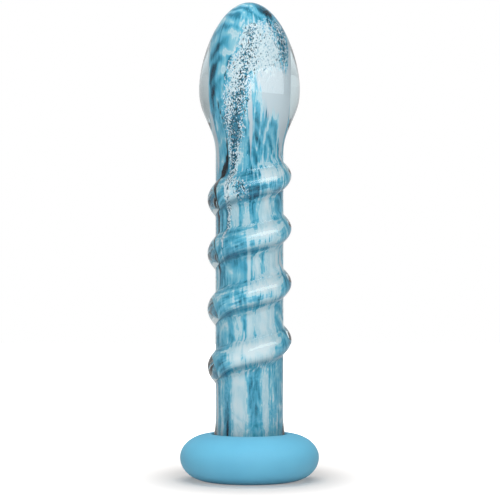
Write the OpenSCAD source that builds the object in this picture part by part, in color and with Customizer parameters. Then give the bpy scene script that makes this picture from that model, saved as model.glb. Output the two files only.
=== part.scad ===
// Swirled art-glass massage wand standing in a soft silicone base.
// Heights run up the wand's axis from the surface that the base stands on.
// +X is the right-hand side and -Y the front.

/* [Shaft] */
// Diameter of the plain glass shaft
shaft_d = 25; // [20:0.5:30]
// Length of the plain shaft, from the top of the flare to the neck
shaft_len = 94.5; // [75:0.5:120]

/* [Head] */
// Largest diameter of the egg-shaped head
head_d = 37.2; // [32:0.2:44]
// Length of the neck, from the shaft to the widest ring of the head
neck_len = 25.5; // [18:0.5:35]
// Length of the crown, from the widest ring of the head to the tip
crown_len = 31.5; // [22:0.5:42]
// Roundness of the crown: 2 is an ellipse and less is more pointed
crown_power = 1.6; // [1.4:0.05:2]

/* [Glass foot] */
// Diameter of the pressed foot at the lower end of the glass
foot_d = 39; // [34:0.5:43]
// Thickness of the foot at its half-round rim
foot_h = 6; // [4:0.5:8]
// Height of the flare between the foot and the shaft
flare_h = 15.5; // [11:0.5:20]
// How late the flare opens: more keeps the shaft straight for longer
flare_power = 2.65; // [2:0.05:4]

/* [Colour core] */
// Diameter of the coloured core inside the shaft
core_d = 16.6; // [10:0.2:18]
// Largest diameter of the core inside the head
core_head_d = 20.6; // [14:0.2:26]
// Clear glass over the core at the tip
core_cover = 1.8; // [1:0.2:12]
// Roundness of the core's upper end: more is blunter
core_power = 4; // [1.6:0.1:5]
// Share of the casing's wall that the core rises into under the trail
core_rise = 0.5; // [0.2:0.05:0.8]
// Gap that keeps glass that is fused together as separate solids
fuse_gap = 0.05; // [0.02:0.01:0.2]

/* [Spiral trail] */
// Width of the glass trail, measured along the shaft
trail_w = 9.8; // [6:0.1:12]
// Height of the trail above the shaft
trail_h = 2.85; // [1.5:0.05:4]
// Turns that the trail makes round the shaft
trail_turns = 3.9; // [2:0.1:5]
// Direction of the trail's upper end, from +X towards +Y, in degrees
trail_start = 72; // [0:1:359]
// Distance from the neck down to the trail's upper end
trail_top = 2.8; // [2:0.1:20]
// Distance from the flare up to the trail's lower end
trail_bottom = 12.5; // [5:0.5:25]
// Share by which the turns open out towards the base
trail_opening = 0.07; // [0:0.01:0.2]
// Share of a turn over which each end of the trail fades into the shaft
trail_fade = 0.14; // [0.08:0.01:0.3]

/* [Silicone base] */
// Diameter of the base
base_d = 51; // [47:0.5:60]
// Height of the base, up to the crest of its lip
base_h = 17.2; // [14:0.2:22]
// Thickness of the floor under the glass foot
base_floor = 3; // [2:0.5:5]
// Diameter of the flat face that the base stands on
stand_d = 30; // [20:0.5:40]
// Gap between the crest of the lip and the glass
mouth_gap = 1; // [0.6:0.1:2]
// Depth of the lip's rounded inner edge
lip_h = 1.5; // [0.8:0.1:3]
// Gap between the glass foot and its pocket
fit_gap = 0.25; // [0.15:0.05:0.4]

/* [Hidden] */
$fn = 96;

// Degrees between the points of a round outline
arc_step = 5;
// Points along the neck and along the flare
curve_steps = 20;
// Rings in each turn of the trail, and edges over its back
rings_per_turn = 24;
back_edges = 8;
// Size of the trail's section at its very ends, as a share of the full section
end_share = 0.3;
// Sides of the core, and the height between its rings in the shaft
core_sides = 24;
core_ring_step = 2.5;

shaft_r = shaft_d / 2;
head_r = head_d / 2;
core_r = core_d / 2;
core_head_r = core_head_d / 2;
base_r = base_d / 2;
rim_r = foot_h / 2;
rim_ring_r = foot_d / 2 - rim_r;

foot_z = base_floor;
rim_z = foot_z + rim_r;
flare_z = foot_z + foot_h;
shaft_z = flare_z + flare_h;
neck_z = shaft_z + shaft_len;
widest_z = neck_z + neck_len;
tip_z = widest_z + crown_len;

// Smooth rise from 0 to 1, level at both ends
function rise(u) = u * u * u * (u * (6 * u - 15) + 10);

// Radius of the flare at height z
function flare_r(z) = shaft_r + (rim_ring_r - shaft_r) * pow((shaft_z - z) / flare_h, flare_power);

// Outline of the flare from height low to height high, moved outwards by gap
function flare_line(low, high, gap) = [
    for (i = [0:curve_steps])
        let (z = low + (high - low) * i / curve_steps)
        [flare_r(z) + gap, z]
];

// Outline of a swelling from radius r_low at the neck to radius r_high at the widest ring
function swelling_line(r_low, r_high) = [
    for (i = [0:curve_steps])
        let (u = i / curve_steps)
        [r_low + (r_high - r_low) * rise(u), neck_z + neck_len * u]
];

// Outline of a crown of radius r and length len, from just above the widest ring to the tip
function crown_line(r, len, power) = [
    for (a = [arc_step:arc_step:90])
        [r * cos(a), widest_z + len * pow(sin(a), 2 / power)]
];

// Part of an ellipse about a centre, from angle a to angle b
function ellipse_line(centre, radii, a, b) = [
    for (i = [0:90 / arc_step])
        let (t = a + (b - a) * i * arc_step / 90)
        centre + [radii[0] * cos(t), radii[1] * sin(t)]
];

// Half-round rim of the foot, moved outwards by gap, from angle a up to angle b
function rim_line(gap, a, b) = [
    for (i = [0:180 / arc_step])
        let (t = a + (b - a) * i * arc_step / 180)
        [rim_ring_r + (rim_r + gap) * cos(t), rim_z + (rim_r + gap) * sin(t)]
];

function reversed(line) = [for (i = [len(line) - 1:-1:0]) line[i]];

// Core outline above the neck, moved outwards by gap so that the head can fit round it
function core_line(gap) = concat(
    swelling_line(core_r + gap, core_head_r + gap),
    crown_line(core_head_r + gap, crown_len - core_cover + gap, core_power)
);

// Soft boot that grips the glass foot, closed underneath, with a rounded lip at its mouth
module silicone_base() {
    middle = base_h / 2;
    stand_r = stand_d / 2;
    crest_r = flare_r(base_h) + mouth_gap;
    lip_z = base_h - lip_h;
    mouth_r = flare_r(lip_z) + fit_gap;
    pocket_z = flare_z + fit_gap;
    floor_angle = -asin(rim_r / (rim_r + fit_gap));
    outside = concat(
        [[0, 0]],
        ellipse_line([stand_r, middle], [base_r - stand_r, middle], -90, 0),
        ellipse_line([crest_r, middle], [base_r - crest_r, middle], arc_step, 90)
    );
    inside = concat(
        ellipse_line([crest_r, lip_z], [mouth_r - crest_r, lip_h], 90 - arc_step, arc_step),
        reversed(flare_line(pocket_z, lip_z, fit_gap)),
        reversed(rim_line(fit_gap, floor_angle, 90 - 2 * arc_step)),
        [[0, foot_z]]
    );
    color("skyblue")
        rotate_extrude()
            polygon(concat(outside, inside));
}

// Clear glass foot, pressed flat underneath, that flares out from the shaft
module glass_foot() {
    bore_r = core_r + fuse_gap;
    color("lightcyan")
        rotate_extrude()
            polygon(concat(
                [[bore_r, foot_z]],
                rim_line(0, -90, 90 - arc_step),
                flare_line(flare_z, shaft_z, 0),
                [[bore_r, shaft_z]]
            ));
}

// Clear glass that cases the core and its ridge along the plain shaft
module shaft_casing() {
    ends = [[core_r, shaft_z - core_ring_step], [core_r, neck_z + core_ring_step]];
    color("lightcyan")
        difference() {
            translate([0, 0, shaft_z])
                cylinder(h = shaft_len, r = shaft_r);
            ridged_rod(concat([ends[0]], shaft_line, [ends[1]]), fuse_gap);
        }
}

// Clear gather of glass that forms the neck and the egg-shaped head round the core's end
module head_gather() {
    color("lightcyan")
        rotate_extrude()
            polygon(concat(
                swelling_line(shaft_r, head_r),
                crown_line(head_r, crown_len, crown_power),
                reversed(core_line(fuse_gap))
            ));
}

// Streaked opaque core that runs from the underside of the foot into the head, with a ridge under the trail
module colour_core() {
    head = core_line(0);
    color("steelblue")
        ridged_rod(concat([[core_r, foot_z]], shaft_line, [for (i = [1:len(head) - 2]) head[i]]), 0);
}

// Rings of the trail, counted from its upper end, and the place of each
trail_rings = round(trail_turns * rings_per_turn);
trail_top_z = neck_z - trail_top;
trail_bottom_z = shaft_z + trail_bottom;
// Radius that keeps the flat facets of the trail's seat clear of the round shaft
seat_r = (shaft_r + fuse_gap) / cos(180 / rings_per_turn);

function trail_turn(i) = trail_turns * i / trail_rings;
function trail_angle(i) = trail_start - 360 * trail_turn(i);
function trail_z(i) =
    let (u = i / trail_rings)
    trail_top_z - (trail_top_z - trail_bottom_z) * ((1 - trail_opening) * u + trail_opening * u * u);
// Share of the full section at ring i: round towards both ends
function trail_share(i) =
    let (near = min(trail_turn(i), trail_turns - trail_turn(i)) / trail_fade)
    near >= 1 ? 1 : end_share + (1 - end_share) * sin(90 * near);

// Ring of points round the trail's section: a low arch that stands on the shaft
function trail_ring(i) = [
    for (k = [0:back_edges])
        let (
            across = 180 * k / back_edges,
            share = trail_share(i),
            r = seat_r + trail_h * share * sin(across),
            z = trail_z(i) + trail_w / 2 * share * cos(across)
        )
        [r * cos(trail_angle(i)), r * sin(trail_angle(i)), z]
];

// Closed body from rings of n points each, listed one after another from the highest ring down
module ringed_body(points, n) {
    last = len(points) - n;
    sides = [
        for (a = [0:n:last - 1], k = [0:n - 1])
            let (p = a + k, q = a + (k + 1) % n)
            each [[p, p + n, q], [q, p + n, q + n]]
    ];
    ends = [for (k = [1:n - 2]) each [[0, k, k + 1], [last, last + k + 1, last + k]]];
    polyhedron(points, concat(sides, ends));
}

// Raised trail of clear glass wound up the shaft as a right-handed spiral
module spiral_trail() {
    color("lightcyan")
        ringed_body([for (i = [0:trail_rings]) each trail_ring(i)], back_edges + 1);
}

// Height of the core's ridge at an angle and a height, as a share of its full height: it was drawn up with the trail
function ridge_share(angle, z) = max([
    for (t = [-1:ceil(trail_turns)])
        let (
            i = ((trail_start - angle) / 360 + t) * trail_rings / trail_turns,
            share = trail_share(i),
            s = (z - trail_z(i)) / (trail_w / 2 * share)
        )
        i > 0 && i < trail_rings && abs(s) < 1 ? share * (1 - s * s) : 0
]);

// Outline of the core in the plain shaft
shaft_rings = ceil(shaft_len / core_ring_step);
shaft_line = [for (i = [0:shaft_rings]) [core_r, shaft_z + shaft_len * i / shaft_rings]];

// Body of rings with an outline of radius and height, with the core's ridge, moved outwards by gap
module ridged_rod(line, gap) {
    ridge_h = core_rise * (shaft_r - core_r);
    ringed_body([
        for (i = [len(line) - 1:-1:0], k = [0:core_sides - 1])
            let (
                angle = -360 * k / core_sides,
                z = line[i][1],
                r = line[i][0] + gap + ridge_h * ridge_share(angle, z)
            )
            [r * cos(angle), r * sin(angle), z]
    ], core_sides);
}

// Least gap between one turn of the trail and the next, measured on its points
trail_gaps = [
    for (i = [0:trail_rings - rings_per_turn])
        let (upper = trail_ring(i), lower = trail_ring(i + rings_per_turn))
        min([for (p = upper, q = lower) norm(p - q)])
];
echo(trail_least_gap_mm = min(trail_gaps), glass_length_mm = tip_z - foot_z, overall_height_mm = tip_z);

silicone_base();
glass_foot();
shaft_casing();
head_gather();
colour_core();
spiral_trail();
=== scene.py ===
# %% [markdown]
# # A swirled glass wand in a soft silicone base
#
# The object is a solid rod of clear glass with a streaked turquoise and white core. Its upper end is an
# egg-shaped head, a raised glass trail winds up the shaft, and a soft blue base holds its foot. The
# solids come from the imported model, which is loaded first. Everything below dresses them and never moves
# them.

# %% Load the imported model
import math

import bpy
import numpy as np
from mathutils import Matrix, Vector


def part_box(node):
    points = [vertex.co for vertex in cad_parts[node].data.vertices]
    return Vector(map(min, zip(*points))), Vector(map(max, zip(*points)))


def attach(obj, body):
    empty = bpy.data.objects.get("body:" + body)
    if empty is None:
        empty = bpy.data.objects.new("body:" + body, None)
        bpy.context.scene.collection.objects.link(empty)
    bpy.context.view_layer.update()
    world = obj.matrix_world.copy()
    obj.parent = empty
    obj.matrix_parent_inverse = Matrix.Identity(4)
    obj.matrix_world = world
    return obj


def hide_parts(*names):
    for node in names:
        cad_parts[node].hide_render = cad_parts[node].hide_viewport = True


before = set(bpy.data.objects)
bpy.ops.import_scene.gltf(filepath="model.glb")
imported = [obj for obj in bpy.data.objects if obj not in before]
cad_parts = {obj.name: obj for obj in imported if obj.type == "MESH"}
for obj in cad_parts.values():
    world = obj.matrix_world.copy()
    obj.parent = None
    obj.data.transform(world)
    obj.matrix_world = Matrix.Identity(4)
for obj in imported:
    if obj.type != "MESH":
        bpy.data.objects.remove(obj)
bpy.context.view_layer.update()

# %% [markdown]
# ## Sizes
#
# A glass worker measures in millimetres, so the shapes here are worked out in millimetres and turned to
# metres only when they go into a mesh. Most sizes are read from the boxes of the solids. The few that a
# box can't tell, such as how late the foot flares, are repeated by name.

# %% Sizes from the solids
MM = 0.001  # one millimetre in metres


def box_mm(node):
    """Lowest and highest corner of a solid, in millimetres."""
    low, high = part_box(node)
    return np.array(low) / MM, np.array(high) / MM


base_r, base_h = box_mm("silicone_base")[1][[0, 2]]
foot_r, shaft_z = box_mm("glass_foot")[1][[0, 2]]
foot_z = box_mm("glass_foot")[0][2]
shaft_r, neck_z = box_mm("shaft_casing")[1][[0, 2]]
head_r, tip_z = box_mm("head_gather")[1][[0, 2]]

foot_h = 6.0  # thickness of the foot at its half-round rim
flare_power = 2.65  # how late the foot flares out of the shaft
neck_len = 25.5  # from the shaft to the widest ring of the head
crown_power = 1.6  # 2 would make the crown an ellipse

widest_z = neck_z + neck_len
flare_z = foot_z + foot_h
rim_r = foot_h / 2
rim_ring_r = foot_r - rim_r
print(f"across: shaft {2 * shaft_r:.1f} mm, head {2 * head_r:.1f} mm, base {2 * base_r:.1f} mm")
print(f"height: {tip_z:.1f} mm")

# %% [markdown]
# ## Camera
#
# The rows at which the base, the shaft and the head show their widths give the camera: it stands 650 mm
# in front of the axis, a little under the wand's middle, and looks up by about a degree. The width of the
# shaft in the frame sets the lens.

# %% Camera
photo_side = 500  # pixels along each side of the frame
shaft_pixels = 67.9  # width of the plain shaft in that frame
axis_column = 249.5  # pixel column of the wand's axis
camera_distance = 650.0  # in front of the axis
camera_height = 71.7  # above the paper
camera_pitch = 1.14  # degrees above level

focal_pixels = shaft_pixels * camera_distance / (2 * shaft_r)
camera_data = bpy.data.cameras.new("camera")
camera_data.lens = camera_data.sensor_width * focal_pixels / photo_side
camera = bpy.data.objects.new("camera", camera_data)
camera_side = (photo_side / 2 - axis_column) * camera_distance / focal_pixels
camera.location = np.array([camera_side, -camera_distance, camera_height]) * MM
camera.rotation_euler = (math.radians(90 + camera_pitch), 0, 0)
bpy.context.scene.collection.objects.link(camera)
bpy.context.scene.camera = camera
print(f"camera lens {camera_data.lens:.1f} mm")

# %% [markdown]
# ## Surfaces on a grid
#
# Every piece here is round, so each is a grid: rows of rings up the axis, and columns round it. One
# helper turns such a grid into a closed mesh. The grid's first and last rows are joined to a single point
# on the axis, so that the poles are closed and nothing overlaps there. Turning a drawn outline with a
# modifier would do as well, but a grid of numbers can also carry the trail and the colours.

# %% Helpers for round pieces
pole_r = 0.5  # radius of the first ring round a pole
closer = 6  # how many times closer the rings lie where a profile asks for it


def ring_mesh(name, rings, low_pole, high_pole):
    """Mesh of a closed round piece.

    rings is an array of rows x columns x 3 in millimetres, from the first ring on the profile to the last,
    each going anticlockwise seen from above. Neighbouring rings are joined by quads, and the first and last
    ring by triangles to the two pole points.
    """
    rows, columns = rings.shape[:2]
    points = np.concatenate([rings.reshape(-1, 3), [low_pole, high_pole]]) * MM
    index = np.arange(rows * columns).reshape(rows, columns)
    beside = np.roll(index, -1, axis=1)
    quads = np.stack([index[:-1], beside[:-1], beside[1:], index[1:]], axis=-1).reshape(-1, 4)
    low, high = rows * columns, rows * columns + 1
    low_fan = np.stack([beside[0], index[0], np.full(columns, low)], axis=-1)
    high_fan = np.stack([index[-1], beside[-1], np.full(columns, high)], axis=-1)
    mesh = bpy.data.meshes.new(name)
    mesh.from_pydata(points.tolist(), [], quads.tolist() + low_fan.tolist() + high_fan.tolist())
    mesh.shade_smooth()
    piece = bpy.data.objects.new(name, mesh)
    bpy.context.scene.collection.objects.link(piece)
    triangles = 2 * len(quads) + len(low_fan) + len(high_fan)
    print(f"{name}: {rows} rings of {columns}, {triangles} triangles")
    return piece


def even_profile(outline, rows, finer=(0, 0)):
    """Points spaced evenly along an outline of radius and height, both in millimetres.

    Steps that end between the two heights in finer are counted as longer, so the points lie closer there.
    """
    steps = np.hypot(*np.diff(outline, axis=0).T)
    ends = outline[1:, 1]
    steps = np.where((ends > finer[0]) & (ends <= finer[1]), closer * steps, steps)
    along = np.concatenate([[0], np.cumsum(steps)])
    wanted = np.linspace(0, along[-1], rows)
    return np.stack([np.interp(wanted, along, outline[:, k]) for k in range(2)], axis=-1)


def spin(radius, height, angle):
    """Rings of points from radius, height and angle: x = r cos a, y = r sin a and z = h."""
    return np.stack([radius * np.cos(angle), radius * np.sin(angle), height], axis=-1)


print(f"rings start {pole_r} mm from the axis")

# %% [markdown]
# ## The glass
#
# On the real wand the casing, the head, the foot and the trail are melted into one body of clear glass.
# Four separate meshes would show a mirror-like film wherever two of them meet, so the glass is one skin
# over all four solids. Its outline is the turned profile, and the trail is added to the radius as a soft
# ridge.

# %% Sizes of the trail
trail_turns = 3.9  # turns of the trail round the shaft
trail_start = math.radians(72)  # direction of its upper end, from +X towards +Y
trail_top = 2.8  # from the neck down to its upper end
trail_bottom = 12.5  # from the flare up to its lower end
trail_opening = 0.07  # share by which the turns open out towards the base
trail_fade = 0.14  # share of a turn over which its ends fade into the shaft
trail_h = 2.95  # height above the shaft
trail_half_w = 5.3  # half of its width along the shaft, at the foot of its fillets
trail_swell = 0.45  # how much wider its left side is than its right, each way from the mean
trail_lean = 0.35  # how much lower it lies on the right than on the left, each way from the mean
trail_fillet = 0.08  # roundness where the trail runs into the shaft, as a share of its height
trail_end_w = 0.6  # its width at its very ends, as a share of the full width
trail_least = 0.004  # a ridge lower than this counts as none
print(f"trail: {trail_turns} turns, {trail_h} mm high and {2 * trail_half_w} mm wide")

# %% Outline of the glass


def rise(u):
    """Smooth rise from 0 to 1, level at both ends: 6 u^5 - 15 u^4 + 10 u^3."""
    return u**3 * (u * (6 * u - 15) + 10)


def crown(radius, length, power, steps=40):
    """Outline of a crown: radius times cos a, at a height of length times sin a to the power 2 / power."""
    a = np.linspace(0, math.pi / 2, steps)[1:]
    return np.stack([radius * np.cos(a), widest_z + length * np.sin(a) ** (2 / power)], axis=-1)


def swelling(r_low, r_high, z_low, z_high, steps=40):
    """Outline of the neck: a smooth rise from one radius and height to another."""
    u = np.linspace(0, 1, steps)
    return np.stack([r_low + (r_high - r_low) * rise(u), z_low + (z_high - z_low) * u], axis=-1)


def flare_radius(z):
    """Radius of the flare at height z: it opens with a power of the depth below the shaft."""
    depth = np.clip((shaft_z - z) / (shaft_z - flare_z), 0, None)
    return shaft_r + (rim_ring_r - shaft_r) * depth**flare_power


def glass_outline():
    """Radius and height along the glass, from the middle of its underside to its tip."""
    a = np.linspace(-math.pi / 2, math.pi / 2, 24)
    rim = np.stack([rim_ring_r + rim_r * np.cos(a), foot_z + rim_r + rim_r * np.sin(a)], axis=-1)
    z = np.linspace(flare_z, shaft_z, 40)[1:]
    flare = np.stack([flare_radius(z), z], axis=-1)
    head = crown(head_r, tip_z - widest_z, crown_power)
    neck = swelling(shaft_r, head_r, neck_z, widest_z)
    return np.concatenate([[[pole_r, foot_z]], rim, flare, neck, head])


print(f"flare opens from {shaft_r:.1f} mm to {flare_radius(flare_z):.1f} mm")

# %% Shape of the trail


def trail_passes(angle):
    """Height of the trail's middle, and its share of full size, for each pass of the trail at every angle.

    The middle falls from the trail's upper end with the turns made, at a pitch that opens a little. The share
    rises as a sine from 0 at either end.
    """
    top, bottom = neck_z - trail_top, shaft_z + trail_bottom
    for turn in range(-1, math.ceil(trail_turns) + 1):
        turned = (trail_start - angle) / (2 * math.pi) + turn
        u = np.clip(turned / trail_turns, 0, 1)
        fall = (1 - trail_opening) * u + trail_opening * u**2
        middle = top - (top - bottom) * fall - trail_lean * np.cos(angle)
        near = np.clip(np.minimum(turned, trail_turns - turned) / trail_fade, 0, 1)
        yield middle, np.sin(near * math.pi / 2)


def trail_ridge(angle, z, wider=0.0):
    """Height of the trail over the shaft at each angle and height.

    A point at share s of the half width from the trail's middle has the height 1 - s^2 of the full one. With
    the fillet f, an arch a becomes half of a + sqrt(a^2 + f^2), which runs out softly at s = 1.
    """
    half_w = trail_half_w + wider - trail_swell * np.cos(angle)
    ridge = np.zeros_like(z)
    for middle, share in trail_passes(angle):
        s = (z - middle) / (half_w * (trail_end_w + (1 - trail_end_w) * share))
        arch = 1 - s**2
        ridge = np.maximum(ridge, trail_h * share * (arch + np.hypot(arch, trail_fillet)) / 2)
    return np.where(ridge < trail_least, 0, ridge)


print("passes of the trail in front:", sum(size > 0 for _, size in trail_passes(-math.pi / 2)))

# %% Clear glass skin
glass_rows, glass_columns = 600, 160
outline = even_profile(glass_outline(), glass_rows, (shaft_z, neck_z))
angle = np.linspace(0, 2 * math.pi, glass_columns, endpoint=False) * np.ones((glass_rows, 1))
radius = outline[:, :1] * np.ones_like(angle)
height = outline[:, 1:] * np.ones_like(angle)
radius = radius + trail_ridge(angle, height)
glass = ring_mesh("clear_glass", spin(radius, height, angle)[:-1], [0, 0, foot_z], [0, 0, tip_z])
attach(glass, "wand")
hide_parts("head_gather", "shaft_casing", "glass_foot", "spiral_trail")

# %% [markdown]
# ## The coloured core
#
# The colour is opaque glass: a rod that swells in the head and rounds off under the tip. Where the hot
# trail was laid on, the colour was drawn up with it, so the core has a ridge of its own under the trail.
# It follows the trail fully on the right and in front, and least at the back on the left, where the clear
# edge of the trail shows as crescents. The core is a grid like the skin's and takes its ridge from the
# same function, so that the two can't drift apart.

# %% Sizes of the core
core_r = 8.3  # radius in the shaft
core_head_r = 10.3  # largest radius, in the head
core_cover = 1.8  # clear glass over it at the tip
core_power = 4.0  # bluntness of its upper end
core_edge = 0.3  # bevel at its lower end, and the clear glass under it
core_tip_z = tip_z - core_cover
core_floor = foot_z + core_edge
core_lift = 1.0  # share of the trail's height that the colour follows
core_lift_less = 0.75  # how much less it follows on the left, where the colour stayed behind
core_left = math.radians(150)  # direction in which it follows least, from +X towards +Y
core_left_power = 3  # how closely it keeps to that direction
core_early = 4.0  # how far below the neck the core starts to swell
core_full = 6.0  # how far below the widest ring it is at its full radius
core_wider = 1.4  # how much further the colour's ridge reaches than the trail, each way
core_wider_side = 0.8  # how much more so on the right than on the left, each way from the mean
print(f"core: {2 * core_r} mm across in the shaft and {2 * core_head_r} mm in the head")

# %% Coloured core
core_rows, core_columns = 380, 256
core_outline = np.concatenate([
    [[pole_r, core_floor], [core_r - core_edge, core_floor], [core_r, core_floor + core_edge]],
    swelling(core_r, core_head_r, neck_z - core_early, widest_z - core_full),
    [[core_head_r, widest_z]],
    crown(core_head_r, core_tip_z - widest_z, core_power),
])
outline = even_profile(core_outline, core_rows)[:-1]
core_angle = np.linspace(0, 2 * math.pi, core_columns, endpoint=False) * np.ones((len(outline), 1))
core_z = outline[:, 1:] * np.ones_like(core_angle)
leftward = 0.5 + 0.5 * np.cos(core_angle - core_left)
wider = core_wider + core_wider_side * np.cos(core_angle)
followed = core_lift - core_lift_less * leftward**core_left_power
lift = followed * trail_ridge(core_angle, core_z, wider)
core = ring_mesh(
    "streaked_core", spin(outline[:, :1] + lift, core_z, core_angle),
    [0, 0, core_floor], [0, 0, core_tip_z],
)
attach(core, "wand")
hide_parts("colour_core")

# %% [markdown]
# ## Where the colours lie
#
# A glass worker rolls the hot rod in crushed colour, so each colour lies in its own place and is then
# drawn out along the rod. Nine numbers at every point of the core say what lies there: how milky the
# glass is, with a painted highlight on the trail's crests and painted shade in the grooves under them
# added in, how evenly it was melted, whether it is plain grey, how thickly it is covered with chips, how
# many of the chips are dark, and how much soot-black glass there is. The last three belong to the trail:
# how far the point lies from the trail's middle, how far its colour was wound with the trail, and how
# deep it lies in the trail's shadow. They could be painted by hand, but soft patches and paths keep their
# real sizes and can be moved one at a time. The shader then breaks them up into streaks and chips.

# %% Helpers for the places
turn = (np.degrees(core_angle) + 270) % 360 - 180  # from the front, growing to the right


def soft_patch(z, middle, reach):
    """Flat-topped patch: exp(-d^4), where d is the distance from its middle as a share of its reach."""
    square = ((turn - middle[0]) / reach[0]) ** 2 + ((z - middle[1]) / reach[1]) ** 2
    return np.exp(-square**2)


def patches(z, places):
    """Sum of soft patches, each with its angle, height, reach in angle and in height, and amount."""
    return sum(amount * soft_patch(z, (t, h), (dt, dh)) for t, h, dt, dh, amount in places)


def streak(path, half_width, ends, fade):
    """Streak along a path of height and angle: exp(-d^2) of the angle off the path, faded at its two ends."""
    heights, turns = np.array(path).T
    off = (turn - np.interp(core_z, heights, turns)) / half_width
    inside = np.clip((core_z - ends[0]) / fade, 0, 1) * np.clip((ends[1] - core_z) / fade, 0, 1)
    return np.exp(-off**2) * inside


def along_trail(above, half_width):
    """Band along the trail, a distance above its middle: exp(-d^2), where d is measured in half widths."""
    return sum(
        share * np.exp(-(((core_z - middle - above) / half_width) ** 2))
        for middle, share in trail_passes(core_angle)
    )


print(f"places go from {turn.min():.0f} to {turn.max():.0f} degrees round the front")

# %% Drips
drip_size = 2.6  # typical length of a drip
drip_level = 0.8  # how much of it counts as none, so that the colour is pulled both ways
drip_drift = 0.05  # how fast the drips wander round the rod with the height, in radians a millimetre


def drips(seed):
    """How far the colour was pulled along the rod at each place, in millimetres.

    Waves from 9 to 60 round the rod are added up, with chance strengths that fall with their number and
    phases that drift with the height. The absolute value of the sum has rounded tops with sharp notches
    between them.
    """
    draw = np.random.default_rng(seed)
    count = np.arange(9, 61, 3)
    strength = draw.normal(size=len(count)) / np.sqrt(count)
    phase = draw.uniform(0, 2 * math.pi, len(count))
    drift = draw.normal(scale=drip_drift, size=len(count))
    wave = np.cos(
        count[:, None, None] * np.radians(turn) + phase[:, None, None] + drift[:, None, None] * core_z
    )
    total = np.tensordot(strength, wave, axes=1) / np.sqrt((strength**2).sum() / 2)
    return drip_size * (np.abs(total) - drip_level)


drawn_z = core_z - drips(seed=5)
print(f"drips up to {np.abs(drawn_z - core_z).max():.1f} mm long")

# %% Milky glass on the head and the neck
# Each place has its angle, its height, its reach in angle and in height, and its amount. Less than 0 is
# deeper blue.
milk_ground = 0.13  # milkiness between the places
milk_head = [
    (28, 156, 34, 9, 0.26), (-32, 157, 18, 6, 0.05), (-45, 148, 9, 9, 0.06),
    (-80, 148, 13, 8, -0.20), (-68, 158, 5, 7, -0.14), (-72, 150, 9, 10, -0.05), (-60, 134, 12, 7, -0.12),
    (60, 171, 32, 4, -0.20), (-60, 160, 26, 7, -0.10), (-20, 171, 70, 3, -0.11),
]
milk_neck = [
    (-34, 120, 12, 14, 0.20), (-74, 124, 15, 10, 0.05), (-16, 122, 4, 12, 0.07), (-5, 121, 5, 10, 0.04),
    (15, 122, 8, 14, -0.20), (52, 122, 18, 13, -0.07), (45, 116.5, 28, 1.3, 0.26),
    # The place at 112.6 mm is white glass on the trail's first turn, with a painted highlight along its upper
    # side
    (36, 112.6, 34, 2.2, 0.36), (4, 108, 20, 4.2, -0.15), (90, 107, 26, 5, -0.08),
]
milk_and_painted_light = milk_ground + patches(drawn_z, milk_head + milk_neck)
print(f"milk from {milk_and_painted_light.min():.2f} to {milk_and_painted_light.max():.2f} with the head and the neck")

# %% Swirls on the head
# Left of the chips the glass was stirred and not drawn out, so these places keep their smooth edges
milk_swirls = [
    (-31, 159.5, 14, 4.5, 0.14), (-15, 167, 10, 3.5, 0.07), (-67, 151, 12, 11, -0.03),
    (-49, 153, 5, 7, 0.12),
]
pale_swirl = [(162, -45), (169, -24)]
deep_swirl = [(144, -45), (148, -44), (152, -40), (154.5, -33), (155.5, -26)]
milk_and_painted_light = milk_and_painted_light + patches(core_z, milk_swirls)
milk_and_painted_light = milk_and_painted_light + 0.05 * streak(pale_swirl, half_width=6, ends=(161, 170), fade=2)
milk_and_painted_light = milk_and_painted_light - 0.20 * streak(deep_swirl, half_width=3.5, ends=(143, 156.5), fade=2)
print(f"milk from {milk_and_painted_light.min():.2f} to {milk_and_painted_light.max():.2f} with the swirls")

# %% Milky glass on the shaft
# White and blue stripes between the turns of the trail, from the top down
milk_upper = [
    (-73, 99, 13, 8, -0.02), (-52, 95, 4, 4, -0.14), (-33, 99, 13, 8, 0.25), (-10, 100, 9, 8, 0.12),
    (2, 95, 10, 4, 0.12), (3, 103, 9, 4, -0.05), (35, 99, 19, 8, 0.34), (88, 99, 26, 9, -0.05),
    (30, 90, 32, 2, 0.24), (-36, 87.5, 26, 3, -0.06),
]
milk_middle = [
    (-84, 79, 5, 8, -0.18), (-60, 79, 3, 8, 0.14), (-30, 79, 24, 8, -0.03), (-30, 77, 7, 3, -0.08),
    (-1, 79, 4, 9, 0.34), (20, 79, 9, 8, 0.28), (50, 80, 20, 8, 0.36), (75, 80, 6, 8, 0.30),
    (28, 70.5, 34, 2.5, 0.30), (18, 68.6, 6, 1.6, -0.22), (-14, 67.5, 7, 1.6, -0.10),
    (86, 72.5, 16, 4, -0.12),
]
milk_lower = [
    (-70, 57, 16, 8, 0.04), (-42, 57, 7, 8, -0.03), (-24, 58, 12, 8, 0.15), (1, 58, 8, 9, 0.29),
    (29, 58, 21, 9, 0.34), (57, 59, 7, 8, 0.24), (84, 51.7, 18, 4, -0.14), (5, 47.5, 43, 3.4, 0.38),
    (-76, 46, 18, 5, -0.08),
]
milk_bottom = [
    (-76, 28, 12, 17, 0.14), (-54, 28, 6, 17, -0.14), (-24, 29, 19, 15, 0.36), (8, 25, 10, 13, -0.16),
    (18, 28, 5, 16, -0.08), (2, 41, 10, 3, 0.14), (37, 30, 13, 14, 0.28), (58, 28, 9, 15, 0.12),
    (80, 28, 10, 15, 0.16), (102, 28, 12, 15, -0.03),
]
milk_back = [
    (150, 150, 30, 20, 0.30), (-140, 120, 25, 22, 0.30), (165, 95, 25, 25, 0.28), (-150, 60, 22, 20, 0.30),
    (140, 40, 24, 18, 0.28),
]
milk_and_painted_light = milk_and_painted_light + patches(drawn_z, milk_upper + milk_middle + milk_lower + milk_bottom + milk_back)
print(f"milk from {milk_and_painted_light.min():.2f} to {milk_and_painted_light.max():.2f} with the shaft")
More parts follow.
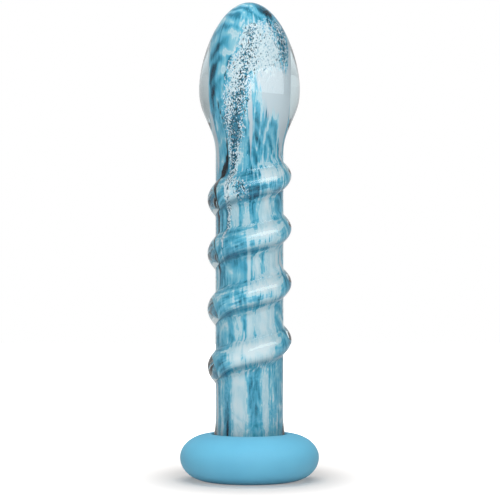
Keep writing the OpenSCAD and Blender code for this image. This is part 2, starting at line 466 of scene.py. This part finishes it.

# %% Painted light on the crests
# A painted highlight makes the trail's crest whiter in front and on the right, where light falls on its upper
# flank, and painted shade makes the groove under it a little bluer
crest_turn, crest_reach = 10, 60  # middle and reach of the white crests, in degrees from the front
crest_highlight, crest_highlight_side = 0.18, 0.13  # mean amount, and how much more it is on the right
groove_shade = -0.06
rightward = np.sin(np.radians(turn))
crest_light = (crest_highlight + crest_highlight_side * rightward) * np.exp(-(((turn - crest_turn) / crest_reach) ** 4))
milk_and_painted_light = milk_and_painted_light + crest_light * along_trail(above=1.4, half_width=1.5)
milk_and_painted_light = milk_and_painted_light + groove_shade * along_trail(above=-3.9, half_width=1.0)
print(f"milk from {milk_and_painted_light.min():.2f} to {milk_and_painted_light.max():.2f} with the crests")

# %% Even glass
# The colour was melted smooth and shows few streaks on the head, the crests and the wide stripes
calm_milk = 0.07  # how much milkier it is there
calm_head = [
    (-62, 157, 45, 17, 1.0), (0, 174, 180, 5, 1.0), (15, 124, 9, 12, 0.9), (52, 124, 19, 11, 0.9),
    (-74, 124, 14, 10, 0.5),
]
calm_crests = [
    (95, 112, 24, 5, 1.0), (95, 92.7, 24, 5, 1.0), (95, 72.5, 24, 5, 1.0), (92, 51.7, 27, 5, 1.0),
    (5, 47.5, 48, 3.5, 0.9), (34, 90, 28, 2.5, 0.6), (30, 70.5, 30, 2.5, 0.6),
]
calm_stripes = [
    (-32, 79, 27, 8, 0.8), (35, 99, 18, 7, 0.5), (92, 101, 25, 6, 0.8), (-60, 58, 26, 8, 0.5),
    (-12, 59, 9, 7, 0.5), (30, 58, 20, 7, 0.6), (88, 60, 22, 7, 0.8), (-24, 29, 18, 15, 0.8),
    (-72, 30, 14, 14, 0.4), (18, 27, 8, 14, 0.5), (100, 28, 14, 15, 0.7),
]
calm = np.clip(patches(drawn_z, calm_head + calm_crests + calm_stripes), 0, 1)
milk_and_painted_light = milk_and_painted_light + calm_milk * calm
print(f"even glass over {(calm > 0.5).mean():.0%} of the core")

# %% Plain grey glass
# Blue tongues with milky edges run up into it from the neck
haze_head = [
    (72, 139, 52, 13, 1.0), (33, 147, 24, 5, 0.9), (108, 152, 18, 9, 1.0), (-112, 150, 14, 12, 0.9),
    (92, 125, 14, 9, 0.9), (3, 125, 4, 8, 0.8), (1, 136, 5, 6, 0.9), (-99, 126, 14, 14, 1.0),
]
haze_shaft = [(92, 79, 10, 7, 0.7), (-104, 28, 9, 18, 0.7)]
tongues = patches(drawn_z, [(51, 118, 20, 18, 1.3), (15, 132, 7, 10, 1.0), (106, 126, 9, 11, 1.0)])
tongue_milk = 0.25  # how milky their edges are
tongue_edge, tongue_edge_w = 0.45, 0.15  # where the edge lies between the tongue and what is round it
haze = np.clip(patches(drawn_z, haze_head + haze_shaft), 0, 1) * np.clip(1 - tongues, 0, 1)
milk_and_painted_light = milk_and_painted_light + tongue_milk * np.exp(-(((tongues - tongue_edge) / tongue_edge_w) ** 2))
print(f"grey glass over {(haze > 0.5).mean():.0%} of the core")

# %% Band of crushed glass
# It leans across the head and runs out down the shaft, with dark chips along a path of their own
chips_low, chips_high = 84, 168  # heights between which it lies
band_path = [
    (84, -56), (98, -48), (110, -40), (120, -35), (130, -30), (140, -26), (150, -14), (160, 0), (167, 6),
]
band_width = np.interp(core_z, [86, 100, 115, 130, 140, 150, 167], [4, 6, 12, 20, 24, 26, 16])
band = streak(band_path, band_width, (chips_low, chips_high), fade=3)
band_gain, band_cut = 1.6, 0.35  # they make its edge sharper
dark_path = [(84, -54), (98, -46), (120, -38), (130, -27), (138, -20), (146, -10), (156, -3), (166, 5)]
dark_width = np.interp(core_z, [98, 120, 130, 138, 146, 166], [6, 12, 20, 20, 15, 12])
dark_amount = np.interp(core_z, [108, 118, 126, 140, 146], [0.7, 1.35, 1.75, 1.35, 0.9])
dark_chips = dark_amount * streak(dark_path, dark_width, (chips_low, chips_high), fade=5)
chips = np.clip(band_gain * band - band_cut, 0, 1)
print(f"band of chips over {(chips > 0.5).mean():.0%} of the core")

# %% Fields of crushed glass
# A pale crackled field beside the band, a dark strip on the right, a smudge on the trail's first turn
field = soft_patch(core_z, middle=(30, 157), reach=(33, 10))
strip = soft_patch(core_z, middle=(73, 160), reach=(19, 10.5))
smudge = soft_patch(core_z, middle=(-19, 106.5), reach=(15, 3))
chips_end, chips_fade = 168.5, 2  # height above which there are none, and over which they thin out
chips = np.clip(np.maximum(chips + field, strip), 0, 1)
chips = chips * np.clip((chips_end - core_z) / chips_fade, 0, 1)
chips = np.maximum(chips, 0.75 * smudge)
dark_chips = np.maximum(dark_chips + 0.05 * field, 1.3 * strip)
dark_chips = np.maximum(dark_chips, 1.2 * smudge)
print(f"chips over {(chips > 0.5).mean():.0%} of the core")

# %% Soot-black glass
# A streak down the left side, thickest at the first turn of the trail, and a few short ones
soot_path = [
    (66, -86), (75, -84), (84, -87), (92, -91), (100, -91), (104, -87), (109, -78), (113, -66), (117, -55),
    (134, -50),
]
soot_width = np.interp(core_z, [70, 100, 108, 113, 119, 130], [5, 7, 13, 16, 7, 3])
soot_amount = np.interp(core_z, [80, 92, 112, 118, 124], [0.72, 0.95, 1.0, 0.9, 0.62])
curl = [
    (126, -53), (135, -57), (140, -67), (143, -78), (146, -86), (150, -79), (153, -69), (156, -72),
    (160, -92),
]
hook = [(138, -54), (147, -49), (149.6, -40), (151.6, -30), (153.5, -20)]
soot = np.max([
    soot_amount * streak(soot_path, soot_width, ends=(64, 136), fade=6),
    0.72 * streak([(8, -54), (40, -56)], half_width=5, ends=(8, 30), fade=8),
    0.58 * streak(curl, half_width=6, ends=(126, 161), fade=4),
    0.54 * streak(hook, half_width=5, ends=(138, 155), fade=4),
    0.70 * soft_patch(core_z, middle=(62, 171), reach=(26, 3)),
], axis=0)
print(f"soot over {(soot > 0.5).mean():.1%} of the core")

# %% Colour wound with the trail
# On the trail the streaks run along it, and its lower edge lies in its own shadow, deeper on the left
wound_gain = 1.5  # how soon the streaks turn with the trail as the ridge rises
shade_mean, shade_side = 0.8, -0.2  # depth of the shadow, and how much it changes to the right
dim_depth = 0.25
dim_places = [(-3, 108.5, 24, 4, 1.0), (-45, 86, 26, 4, 1.0)]
gaps = np.stack([core_z - middle for middle, _ in trail_passes(core_angle)])
across = np.take_along_axis(gaps, np.abs(gaps).argmin(axis=0)[None], axis=0)[0]
wound = np.clip(wound_gain * trail_ridge(core_angle, core_z) / trail_h, 0, 1)
shade = (shade_mean + shade_side * rightward) * along_trail(above=-3.1, half_width=1.2)
shade = np.clip(shade + dim_depth * patches(core_z, dim_places), 0, 1)
print(f"wound colour over {(wound > 0.5).mean():.0%} of the core")

# %% Colours as numbers on the mesh
colours = {"milk_and_painted_light": milk_and_painted_light, "calm": calm, "haze": haze, "chips": chips, "dark_chips": dark_chips, "soot": soot}
colours.update({"across": across, "wound": wound, "shade": shade})
for name, values in colours.items():
    attribute = core.data.attributes.new(name, "FLOAT", "POINT")
    poles = [values[0].mean(), values[-1].mean()]
    attribute.data.foreach_set("value", np.concatenate([values.ravel(), poles]).astype(np.float32))
print("attributes of the core:", *colours)

# %% [markdown]
# ## The silicone base
#
# The base is one soft moulding: a fat rounded ring outside, closed underneath, with a pocket that follows
# the glass foot. A real one is cast from liquid silicone round a core that is pulled out through the soft
# mouth. Here one outline goes from the middle of the underside round the outside, over the lip and down
# into the pocket, and is turned about the axis. A ball that is cut out with a modifier would need its
# edges rounded again, and this way the lip keeps its roundness.

# %% Outline of the base
stand_r = 15.0  # radius of the flat face under the base
mouth_gap = 1.0  # between the crest of the lip and the glass
lip_h = 1.5  # depth of the lip's rounded inner edge
fit_gap = 0.25  # between the glass foot and its pocket


def ellipse(centre, radii, a, b, steps=40):
    """Part of an ellipse about a centre, between two angles in degrees: the radii times cos t and sin t."""
    t = np.radians(np.linspace(a, b, steps))
    return np.stack([centre[0] + radii[0] * np.cos(t), centre[1] + radii[1] * np.sin(t)], axis=-1)


middle = base_h / 2
crest_r = flare_radius(base_h) + mouth_gap
lip_z = base_h - lip_h
mouth_r = flare_radius(lip_z) + fit_gap
pocket_z = np.linspace(lip_z, flare_z + fit_gap, 30)[1:]
floor_angle = -math.degrees(math.asin(rim_r / (rim_r + fit_gap)))
# An arc that goes on from another starts a little further round, so that no point comes twice
base_outline = np.concatenate([
    [[pole_r, 0]],
    ellipse([stand_r, middle], [base_r - stand_r, middle], -90, 0),
    ellipse([crest_r, middle], [base_r - crest_r, middle], 2, 90),
    ellipse([crest_r, lip_z], [mouth_r - crest_r, lip_h], 88, 0, 16),
    np.stack([flare_radius(pocket_z) + fit_gap, pocket_z], axis=-1),
    ellipse([rim_ring_r, foot_z + rim_r], [rim_r + fit_gap] * 2, 80, floor_angle, 24),
    [[pole_r, foot_z]],
])
print(f"mouth of the base: {2 * mouth_r:.1f} mm across, pocket {base_h - foot_z:.1f} mm deep")

# %% Silicone base
base_rows, base_columns = 260, 240
outline = even_profile(base_outline, base_rows)
angle = np.linspace(0, 2 * math.pi, base_columns, endpoint=False) * np.ones((base_rows, 1))
base = ring_mesh(
    "silicone_foot", spin(outline[:, :1], outline[:, 1:] * np.ones_like(angle), angle),
    [0, 0, 0], [0, 0, foot_z],
)
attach(base, "base")
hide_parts("silicone_base")

# %% [markdown]
# ## Materials
#
# Each finish is a small tree of nodes that reads Object coordinates, so its pattern has a real size and
# stays put when the wand is lifted. Colours are written as sRGB hex values, as a paint chart gives them.

# %% Helpers for materials


def linear(hex_colour):
    """Linear colour with alpha from an sRGB hex value.

    A share s of full brightness becomes s / 12.92 when very dark, and ((s + 0.055) / 1.055)^2.4 above that.
    """
    s = np.array([int(hex_colour[k:k + 2], 16) for k in (1, 3, 5)]) / 255
    return (*np.where(s <= 0.04045, s / 12.92, ((s + 0.055) / 1.055) ** 2.4).tolist(), 1.0)


def node(tree, kind, links=None, **settings):
    """Adds a shader node of a kind to a tree, sets its properties and input values, and links its inputs.

    An input is linked where its source is a socket of another node, or the node itself for its first socket.
    """
    made = tree.nodes.new("ShaderNode" + kind)
    for name, value in settings.items():
        setattr(made, name, value)
    for socket, source in (links or {}).items():
        if isinstance(source, bpy.types.Node):
            source = source.outputs[0]
        if isinstance(source, bpy.types.NodeSocket):
            tree.links.new(source, made.inputs[socket])
        else:
            made.inputs[socket].default_value = source
    return made


def new_material(name):
    """Material with an empty tree and a Principled shader on its output."""
    material = bpy.data.materials.new(name)
    material.use_nodes = True
    tree = material.node_tree
    tree.nodes.clear()
    shader = node(tree, "BsdfPrincipled")
    node(tree, "OutputMaterial", {"Surface": shader.outputs["BSDF"]})
    return material, tree, shader


print(f"mid grey #808080 is {linear('#808080')[0]:.2f} in linear light")

# %% [markdown]
# ### Borosilicate glass
#
# The clear glass was melted, wound and fire-polished in a flame. That leaves a liquid-smooth skin, so it
# has no roughness to speak of, and its detail is the faint cords: long ripples of glass that was never
# quite mixed. A Principled shader with full transmission bends light as real glass does, and a slight
# bump makes the cords.

# %% Borosilicate glass
cord_w, cord_len, cord_depth = 5, 30, 0.1


def per(*sizes):
    """Scale of a pattern from the sizes in millimetres at which it repeats: 1 over the size in metres."""
    return tuple(1 / (size * MM) for size in sizes)


material, tree, shader = new_material("borosilicate_glass")
place = node(tree, "TexCoord").outputs["Object"]
cords = node(tree, "Mapping", {"Vector": place, "Scale": per(cord_w, cord_w, cord_len)})
ripple = node(tree, "TexNoise", {"Vector": cords, "Scale": 1.0, "Detail": 1.0})
bump = node(tree, "Bump", {
    "Height": ripple.outputs["Fac"], "Strength": 0.15, "Distance": cord_depth * MM,
})
tree.links.new(bump.outputs["Normal"], shader.inputs["Normal"])
shader.inputs["Base Color"].default_value = linear("#e4f5f9")
shader.inputs["Roughness"].default_value = 0.0
shader.inputs["IOR"].default_value = 1.47
shader.inputs["Transmission Weight"].default_value = 1.0
glass.data.materials.append(material)
print(f"{material.name}: cords {cord_w} mm wide and {cord_len} mm long")

# %% [markdown]
# ### Streaked opaque glass
#
# The core is glass that metal oxides make white, turquoise and nearly black. Drawing the rod out turned
# every grain of colour into a long streak with flame-shaped ends, winding the trail turned the streaks
# with it, and where the glass stayed hot they melted into cloudy spots and swirls. Chips that were added
# last stayed as chips. So the milkiness is broken up by noise that is stretched along the rod or along
# the trail, a ramp turns it into colour, and the chips are the cells of a Voronoi pattern. The shine
# belongs to the clear glass, so the core is dull.

# %% Streaked opaque glass
material, tree, shader = new_material("streaked_opaque_glass")
shader.inputs["Roughness"].default_value = 0.7
shader.inputs["Specular IOR Level"].default_value = 0.0
place = node(tree, "TexCoord").outputs["Object"]
share = {
    name: node(tree, "Attribute", attribute_name=name).outputs["Fac"]
    for name in colours
}
core.data.materials.append(material)
print(f"{material.name} reads:", *share)

# %% Wander of the streaks
# A slow wander bends the patterns of the core, so that nothing runs dead straight
wander_reach = (2.4, 2.4, 9)  # how far it moves them, end to end
wander_scale = node(tree, "Mapping", {"Vector": place, "Scale": per(6, 6, 11)})
wander = node(tree, "TexNoise", {"Vector": wander_scale, "Scale": 1.0, "Detail": 2.0})
off = node(tree, "VectorMath", {0: wander.outputs["Color"], 1: (0.5, 0.5, 0.5)}, operation="SUBTRACT")
off = node(tree, "VectorMath", {
    0: off, 1: tuple(reach * MM for reach in wander_reach),
}, operation="MULTIPLY")
bent = node(tree, "VectorMath", {0: place, 1: off}, operation="ADD").outputs[0]
print("patterns wander over", wander_reach, "mm")

# %% Streaks along the rod
# Broad streaks, about 2 mm wide and 25 mm long, and fine ones inside them
fine_part = 0.5  # strength of the fine streaks beside the broad ones
broad_scale = node(tree, "Mapping", {"Vector": bent, "Scale": per(2.2, 2.2, 25)})
broad = node(tree, "TexNoise", {"Vector": broad_scale, "Scale": 1.0, "Detail": 2.0, "Roughness": 0.5})
fine_scale = node(tree, "Mapping", {"Vector": bent, "Scale": per(0.7, 0.7, 14)})
fine = node(tree, "TexNoise", {"Vector": fine_scale, "Scale": 1.0, "Detail": 2.0, "Roughness": 0.5})
streaks = node(tree, "Math", {
    0: fine.outputs["Fac"], 1: fine_part, 2: broad.outputs["Fac"],
}, operation="MULTIPLY_ADD")
streaks = node(tree, "Math", {0: streaks, 1: (1 + fine_part) / 2}, operation="SUBTRACT")
print("fine streaks at", fine_part, "of the broad ones")

# %% Streaks along the trail
# On the trail they follow it, and they are fainter in the even glass
trail_streaks = 0.77  # streaks to a millimetre across the trail
trail_stretch = 0.108  # their width as a share of their length
trail_contrast = 1.3
around = node(tree, "VectorMath", {
    0: place, 1: (trail_stretch / MM, trail_stretch / MM, 0),
}, operation="MULTIPLY")
upward = node(tree, "CombineXYZ", {"Z": share["across"]})
trail_place = node(tree, "VectorMath", {0: around, 1: upward}, operation="ADD")
trail_noise = node(tree, "TexNoise", {
    "Vector": trail_place, "Scale": trail_streaks, "Detail": 3.0, "Roughness": 0.55,
})
along = node(tree, "Math", {
    0: trail_noise.outputs["Fac"], 1: trail_contrast, 2: -trail_contrast / 2,
}, operation="MULTIPLY_ADD")
streaks = node(tree, "Mix", {0: share["wound"], 2: streaks, 3: along})
strength = node(tree, "MapRange", {"Value": share["calm"], "To Min": 0.82, "To Max": 0.2})
tone = node(tree, "Math", {0: streaks, 1: strength, 2: share["milk_and_painted_light"]}, operation="MULTIPLY_ADD")
print(f"trail streaks {1 / trail_streaks:.1f} mm wide, {1 / trail_streaks / trail_stretch:.0f} mm long")

# %% Cloudy spots
# About a millimetre each, where the grains of colour melted
spot_scale = node(tree, "Mapping", {"Vector": bent, "Scale": per(1.1, 1.1, 1.7)})
spots = node(tree, "TexNoise", {"Vector": spot_scale, "Scale": 1.0, "Detail": 3.0, "Roughness": 0.6})
spots = node(tree, "Math", {0: spots.outputs["Fac"], 1: 0.5}, operation="SUBTRACT")
cloudy = node(tree, "MapRange", {"Value": share["calm"], "To Min": 0.32, "To Max": 0.14})
level = node(tree, "Math", {0: spots, 1: cloudy, 2: tone}, operation="MULTIPLY_ADD")
print("spots added,", len(tree.nodes), "nodes so far")

# %% Swirls in the even glass
# About 7 mm apart along the rod
swirl_contrast = 0.22
milk_shift = 0.22  # moves the milkiness to the middle of the colour ramp
swirl_scale = node(tree, "Mapping", {"Vector": bent, "Scale": per(11, 11, 11)})
swirl = node(tree, "TexWave", {
    "Vector": swirl_scale, "Scale": 1.0, "Distortion": 7.0, "Detail": 2.0, "Detail Scale": 0.8,
}, bands_direction="DIAGONAL")
swirl = node(tree, "Math", {0: swirl.outputs["Fac"], 1: 0.5}, operation="SUBTRACT")
swirls = node(tree, "Math", {0: swirl, 1: share["calm"]}, operation="MULTIPLY")
level = node(tree, "Math", {0: swirls, 1: swirl_contrast, 2: level}, operation="MULTIPLY_ADD")
level = node(tree, "Math", {0: level, 1: milk_shift}, operation="ADD")
print("swirls added,", len(tree.nodes), "nodes so far")

# %% Colours of the streaks
# From deep blue through turquoise to milk white, with a bright rim where a milky streak starts
ramp = node(tree, "ValToRGB", {"Fac": level})
streak_colours = [
    (0.02, "#0f3746"), (0.13, "#22677f"), (0.25, "#419ab7"), (0.35, "#64beda"), (0.43, "#88cee1"),
    (0.49, "#b0deea"), (0.52, "#e6f1f5"), (0.58, "#c6e3ec"), (0.71, "#e3f1f6"), (0.90, "#f2f6f8"),
]
stops = ramp.color_ramp.elements
stops[0].position = streak_colours[0][0]
stops[1].position = streak_colours[-1][0]
for position, _ in streak_colours[1:-1]:
    stops.new(position)
for stop, (_, colour) in zip(stops, streak_colours):
    stop.color = linear(colour)
print(len(stops), "colours from", streak_colours[0][1], "to", streak_colours[-1][1])

# %% Plain grey glass over the streaks
# The fine streaks make its edge ragged
haze_ragged = 0.3
haze_edge = node(tree, "Math", {
    0: fine.outputs["Fac"], 1: haze_ragged, 2: share["haze"],
}, operation="MULTIPLY_ADD")
haze_part = node(tree, "MapRange", {"Value": haze_edge, "From Min": 0.58, "From Max": 0.77})
hazy = node(tree, "Mix", {0: haze_part, 6: ramp.outputs["Color"], 7: linear("#dfe2e6")}, data_type="RGBA")
print("grey glass added,", len(tree.nodes), "nodes so far")

# %% Chips
# Under half a millimetre each. Three random numbers a chip pick whether it is there, whether it is dark,
# and its colour.
chip_w, chip_len = 0.32, 0.46
dark_part = 0.55  # share of dark chips where the core's number for them is 1
chip_scale = node(tree, "Mapping", {"Vector": bent, "Scale": per(chip_w, chip_w, chip_len)})
chip = node(tree, "TexVoronoi", {"Vector": chip_scale, "Scale": 1.0})
draw = node(tree, "SeparateColor", {"Color": chip.outputs["Color"]})
there = node(tree, "Math", {0: share["chips"], 1: draw.outputs[0]}, operation="GREATER_THAN")
dark_odds = node(tree, "Math", {0: share["dark_chips"], 1: dark_part}, operation="MULTIPLY")
dark = node(tree, "Math", {0: dark_odds, 1: draw.outputs[1]}, operation="GREATER_THAN")
print("chips:", chip_w, "mm wide and", chip_len, "mm long")

# %% Colours of the chips
chip_ramp = node(tree, "ValToRGB", {"Fac": draw.outputs[2]})
chip_ramp.color_ramp.elements[0].color = linear("#a3c6d4")
chip_ramp.color_ramp.elements[1].color = linear("#fbfcfd")
chip_ramp.color_ramp.elements.new(0.25).color = linear("#ebf0f3")
dark_ramp = node(tree, "ValToRGB", {"Fac": draw.outputs[2]})
dark_ramp.color_ramp.elements[0].color = linear("#0b1a22")
dark_ramp.color_ramp.elements[1].color = linear("#45a0bf")
chip_colour = node(tree, "Mix", {
    0: dark, 6: chip_ramp.outputs["Color"], 7: dark_ramp.outputs["Color"],
}, data_type="RGBA")
chipped = node(tree, "Mix", {0: there, 6: hazy.outputs[2], 7: chip_colour.outputs[2]}, data_type="RGBA")
print("chips coloured,", len(tree.nodes), "nodes so far")

# %% Shadow and soot
# The shadow under the trail darkens what is there, and the soot's edges are ragged like the grey glass's
soot_ragged = 1.2
shaded = node(tree, "Mix", {
    0: share["shade"], 6: chipped.outputs[2], 7: linear("#86a9b6"),
}, data_type="RGBA", blend_type="MULTIPLY")
ragged = node(tree, "Math", {
    0: fine.outputs["Fac"], 1: soot_ragged, 2: share["soot"],
}, operation="MULTIPLY_ADD")
blackness = node(tree, "MapRange", {"Value": ragged, "From Min": 1.12, "From Max": 1.3})
sooty = node(tree, "Mix", {0: blackness, 6: shaded.outputs[2], 7: linear("#0d171d")}, data_type="RGBA")
tree.links.new(sooty.outputs[2], shader.inputs["Base Color"])
print(f"{material.name}: {len(tree.nodes)} nodes")

# %% [markdown]
# ### Moulded silicone
#
# The base is silicone rubber from a bead-blasted mould. The blasting gives it a fine matt grain, and
# light goes a little way into the rubber, which softens its shading. So a fine noise sets both the bump
# and the roughness, a slow one clouds the blue a little, as pigment does, and some of the light is
# scattered under the surface.

# %% Moulded silicone
grain_w = 0.6  # drawn coarser than the blasted grain of about 0.1 mm, which would be too fine to show
cloud_w = 14
material, tree, shader = new_material("moulded_silicone")
place = node(tree, "TexCoord").outputs["Object"]
grain_scale = node(tree, "Mapping", {"Vector": place, "Scale": per(grain_w, grain_w, grain_w)})
grain = node(tree, "TexNoise", {"Vector": grain_scale, "Scale": 1.0, "Detail": 2.0})
bump = node(tree, "Bump", {"Height": grain.outputs["Fac"], "Strength": 0.25, "Distance": 0.05 * MM})
tree.links.new(bump.outputs["Normal"], shader.inputs["Normal"])
matt = node(tree, "MapRange", {"Value": grain.outputs["Fac"], "To Min": 0.55, "To Max": 0.7})
tree.links.new(matt.outputs[0], shader.inputs["Roughness"])
cloud_scale = node(tree, "Mapping", {"Vector": place, "Scale": per(cloud_w, cloud_w, cloud_w)})
cloud = node(tree, "TexNoise", {"Vector": cloud_scale, "Scale": 1.0, "Detail": 3.0})
tint = node(tree, "ValToRGB", {"Fac": cloud.outputs["Fac"]})
for stop, position, colour in zip(tint.color_ramp.elements, (0.3, 0.7), ("#5eaccb", "#64b2d0")):
    stop.position = position
    stop.color = linear(colour)
tree.links.new(tint.outputs["Color"], shader.inputs["Base Color"])
print(f"{material.name}: grain {grain_w} mm, clouds {cloud_w} mm")

# %% Softness of the silicone
shader.inputs["Specular IOR Level"].default_value = 0.35
shader.inputs["Subsurface Weight"].default_value = 0.15
shader.inputs["Sheen Weight"].default_value = 0.05
shader.inputs["Sheen Roughness"].default_value = 0.5
shader.inputs["Subsurface Radius"].default_value = (0.6, 1.0, 1.2)
shader.inputs["Subsurface Scale"].default_value = 1.5 * MM
base.data.materials.append(material)
print(f"{material.name}: {len(tree.nodes)} nodes")

# %% [markdown]
# ## Studio
#
# The wand stands on white paper in a bright room. Paper is pulp, pressed and dried, which scatters light
# and has no shine. A glow is painted on the paper that rises away from the base, so only a painted shadow
# close by shows. Far away it is lighter on the left, and the room is grey, because that is what the clear
# margins of the glass show. A large softbox overhead lights the base and the paper, and is hidden from
# reflections, because the top of the glass shows no bright square. A small one close by on the right
# makes the square highlight on the head and does nothing else. A soft light in front belongs to the room.
# Lamp light hardly finds its way through glass to the core, so the room also gives the core some light
# of its own.

# %% Paper floor
floor_half = 1500.0  # half of the sheet's side
corners = np.array([[-1, -1, 0], [1, -1, 0], [1, 1, 0], [-1, 1, 0]]) * floor_half * MM
mesh = bpy.data.meshes.new("paper_floor")
mesh.from_pydata(corners.tolist(), [], [[0, 1, 2, 3]])
floor = bpy.data.objects.new("paper_floor", mesh)
bpy.context.scene.collection.objects.link(floor)
print("paper floor:", 2 * floor_half, "mm square")

# %% Painted shadow on the paper
# The painted glow is weakest in a painted shadow that is drawn out away from the camera, and rises in two
# steps round it
shadow_narrow = 0.66  # width of the shadow as a share of its length
shadow_back = 7.0  # how far it is moved away from the camera, before it is drawn out
material, tree, shader = new_material("white_paper")
place = node(tree, "TexCoord").outputs["Object"]
from_shadow = node(tree, "VectorMath", {
    0: place, 1: (1, shadow_narrow, 1), 2: (0, -shadow_back * MM, 0),
}, operation="MULTIPLY_ADD")
away = node(tree, "VectorMath", {0: from_shadow}, operation="LENGTH")
near = node(tree, "MapRange", {
    "Value": away.outputs["Value"], "From Min": 24 * MM, "From Max": 44 * MM, "To Max": 0.30,
}, interpolation_type="SMOOTHSTEP")
far = node(tree, "MapRange", {
    "Value": away.outputs["Value"], "From Min": 38 * MM, "From Max": 180 * MM,
}, interpolation_type="SMOOTHSTEP")
painted_glow = node(tree, "Math", {0: near, 1: far}, operation="ADD")
print("shadow on the paper:", shadow_narrow, "as wide as it is long")

# %% Painted glow of the paper
# The paper keeps a little painted glow under the edge of the base, which lightens the painted shadow there,
# and the glass shows only a part of it all
painted_glow_in_glass = 0.12  # share of the glow that shows in and through the glass
from_axis = node(tree, "VectorMath", {0: place}, operation="LENGTH")
under = node(tree, "MapRange", {
    "Value": from_axis.outputs["Value"], "From Min": 18 * MM, "From Max": 28 * MM,
    "To Min": 0.28, "To Max": 0.0,
}, interpolation_type="SMOOTHSTEP")
painted_glow = node(tree, "Math", {0: painted_glow, 1: under}, operation="ADD")
path = node(tree, "LightPath")
shown = node(tree, "Math", {
    0: path.outputs["Is Singular Ray"], 1: painted_glow_in_glass, 2: path.outputs["Is Camera Ray"],
}, operation="MULTIPLY_ADD")
shown = node(tree, "Math", {0: painted_glow, 1: shown}, operation="MULTIPLY")
tree.links.new(shown.outputs[0], shader.inputs["Emission Strength"])
shader.inputs["Emission Color"].default_value = (1, 1, 1, 1)
print("glow in the glass:", painted_glow_in_glass)

# %% Colour of the paper
sheet = node(tree, "MapRange", {
    "Value": away.outputs["Value"], "From Min": 150 * MM, "From Max": 350 * MM,
})
sideways = node(tree, "SeparateXYZ", {0: place}).outputs["X"]
left = node(tree, "MapRange", {"Value": sideways, "From Min": 200 * MM, "From Max": -200 * MM})
far_paper = node(tree, "Mix", {0: left, 6: linear("#bfc1c3"), 7: linear("#dadbdc")}, data_type="RGBA")
paper = node(tree, "Mix", {0: sheet, 6: linear("#d6d3d1"), 7: far_paper.outputs[2]}, data_type="RGBA")
tree.links.new(paper.outputs[2], shader.inputs["Base Color"])
shader.inputs["Roughness"].default_value = 0.9
shader.inputs["Specular IOR Level"].default_value = 0.0
floor.data.materials.append(material)
print(f"{material.name}: {len(tree.nodes)} nodes")

# %% Softboxes


def softbox(name, place, target, size, brightness):
    """Rectangular lamp at a place, turned to a target, all in millimetres.

    Its power is pi times its area times its brightness, which is given in units of white paper.
    """
    data = bpy.data.lights.new(name, "AREA")
    data.shape = "RECTANGLE"
    data.size, data.size_y = size[0] * MM, size[1] * MM
    data.energy = math.pi * data.size * data.size_y * brightness
    lamp = bpy.data.objects.new(name, data)
    lamp.location = np.array(place) * MM
    lamp.rotation_euler = Vector(np.subtract(target, place)).to_track_quat("-Z", "Y").to_euler()
    lamp.visible_camera = False
    bpy.context.scene.collection.objects.link(lamp)
    print(f"{name}: {data.energy:.1f} W")
    return lamp


top = softbox("top", place=(0, -50, 800), target=(0, -50, 0), size=(900, 900), brightness=3.05)
top.visible_glossy = False
window = softbox(
    "window", place=(61, -107, 165.5), target=(-20, -19, 165.5), size=(240, 69), brightness=3.6,
)
window.visible_diffuse = False
window.visible_transmission = False

# %% Grey room
# Lighter behind on the left and below, and dimmer for what is matt than for what the glass shows
world = bpy.data.worlds.new("room")
bpy.context.scene.world = world
world.use_nodes = True
tree = world.node_tree
tree.nodes.clear()
path = node(tree, "LightPath")
ray = node(tree, "TexCoord").outputs["Generated"]
behind = node(tree, "VectorMath", {0: ray, 1: (-0.6, 0.8, -1.0)}, operation="DOT_PRODUCT")
grey = node(tree, "MapRange", {
    "Value": behind.outputs["Value"], "From Min": -0.4, "From Max": 0.9, "To Min": 0.36, "To Max": 0.79,
})
dimmer = node(tree, "MapRange", {"Value": path.outputs["Is Singular Ray"], "To Min": 0.35})
print("grey room:", len(tree.nodes), "nodes")

# %% Soft light in front
# It lights what is matt and isn't seen straight in the glass
ahead = node(tree, "VectorMath", {0: ray, 1: (0, -0.97, 0.24)}, operation="DOT_PRODUCT")
front = node(tree, "MapRange", {
    "Value": ahead.outputs["Value"], "From Min": 0.72, "From Max": 1.0, "To Max": 3.2,
}, interpolation_type="SMOOTHSTEP")
direct = node(tree, "Math", {
    0: path.outputs["Is Singular Ray"], 1: path.outputs["Diffuse Depth"],
}, operation="SUBTRACT", use_clamp=True)
lit = node(tree, "Math", {0: 1.0, 1: direct}, operation="SUBTRACT")
front = node(tree, "Math", {0: front, 1: lit}, operation="MULTIPLY")
total = node(tree, "Math", {0: grey, 1: dimmer, 2: front}, operation="MULTIPLY_ADD")
print("with the light in front:", len(tree.nodes), "nodes")

# %% Light for the core
# Only for rays that come from the core through the glass, and more from the sides than from front and back
core_light, core_light_sides = 0.10, 0.44
deep = node(tree, "Math", {
    0: path.outputs["Transmission Depth"], 1: path.outputs["Diffuse Depth"],
}, operation="MULTIPLY", use_clamp=True)
side = node(tree, "SeparateXYZ", {0: ray}).outputs["X"]
sides = node(tree, "Math", {0: side, 1: side}, operation="MULTIPLY")
fill = node(tree, "Math", {0: sides, 1: core_light_sides, 2: core_light}, operation="MULTIPLY_ADD")
total = node(tree, "Math", {0: fill, 1: deep, 2: total}, operation="MULTIPLY_ADD")
print("with the light for the core:", len(tree.nodes), "nodes")

# %% White backdrop
room = node(tree, "Background", {"Color": linear("#fdfeff"), "Strength": total})
backdrop = node(tree, "Background", {"Color": (1, 1, 1, 1), "Strength": 1.0})
seen = node(tree, "MixShader", {0: path.outputs["Is Camera Ray"], 1: room, 2: backdrop})
node(tree, "OutputWorld", {"Surface": seen})
bpy.context.scene.view_settings.view_transform = "Standard"
print("room and backdrop:", len(tree.nodes), "nodes")
